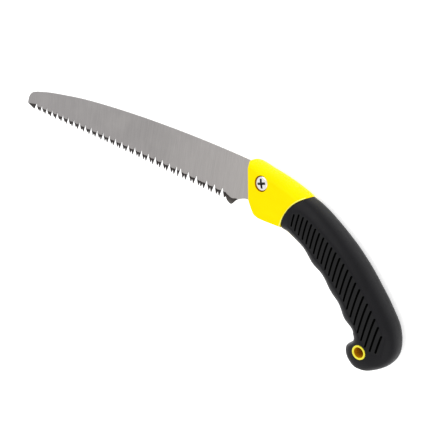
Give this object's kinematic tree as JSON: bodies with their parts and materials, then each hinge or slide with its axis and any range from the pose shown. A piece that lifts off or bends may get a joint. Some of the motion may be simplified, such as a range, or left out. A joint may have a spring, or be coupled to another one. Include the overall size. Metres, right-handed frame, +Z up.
{
  "type": "folding pruning saw",
  "caption": "Hand pruning saw: long toothed blade on a screw pivot, folding from a curved yellow handle with a black ribbed rubber grip and a lanyard hole.",
  "frame": {"origin": "centre of the saw's footprint on the surface that it lies on, with the blade open", "axes": "+X along the blade's length from the tip to the handle, +Y in the blade's plane towards its back, +Z up, out of the near side of the saw, along the pivot and the lanyard hole"},
  "size_m": [0.425, 0.1068, 0.023],
  "materials": {
    "blade_steel": "satin ground spring steel, darker ground tooth facets",
    "yellow_plastic": "smooth moulded bright yellow plastic",
    "black_rubber": "matte black moulded soft grip",
    "yellow_bush": "glossy yellow bush",
    "bright_zinc": "bright zinc plated screw",
    "plain_steel": "plain turned steel",
    "bronze": "sintered bronze thrust washer",
    "liner_steel": "pressed steel sheet",
    "spring_steel": "blued spring steel",
    "dark_screw": "black oxide self-tapping screws"
  },
  "bodies": {
    "handle": {"near_shell": "yellow_plastic", "far_shell": "yellow_plastic", "near_grip": "black_rubber", "far_grip": "black_rubber", "lanyard_bush": "yellow_bush", "pivot_screw": "bright_zinc", "pivot_nut": "bright_zinc", "pivot_sleeve": "plain_steel", "spring_washer": "plain_steel", "near_washer": "bronze", "far_washer": "bronze", "near_liner": "liner_steel", "far_liner": "liner_steel", "liner_rivets": "plain_steel", "lock_rivets": "plain_steel", "open_stop_pin": "plain_steel", "closed_stop_pin": "plain_steel", "shell_screws": "dark_screw"},
    "blade": {"blade": "blade_steel"},
    "lock": {"lock_leaf": "spring_steel"}
  },
  "joints": [
    {"name": "blade_fold", "type": "hinge", "parent": "handle", "child": "blade", "pos_m": [0.0895, 0.042, 0.0115], "axis": [0, 0, 1], "range_deg": [0, 125], "deforming": ["lock_leaf"]},
    {"name": "lock_release", "type": "hinge", "parent": "handle", "child": "lock", "pos_m": [0.11318, 0.02226, 0.01], "axis": [-0.4462, -0.8949, 0], "range_deg": [0, 2.9], "stiffness_Nm_per_rad": 2, "deforming": ["lock_leaf"]}
  ]
}
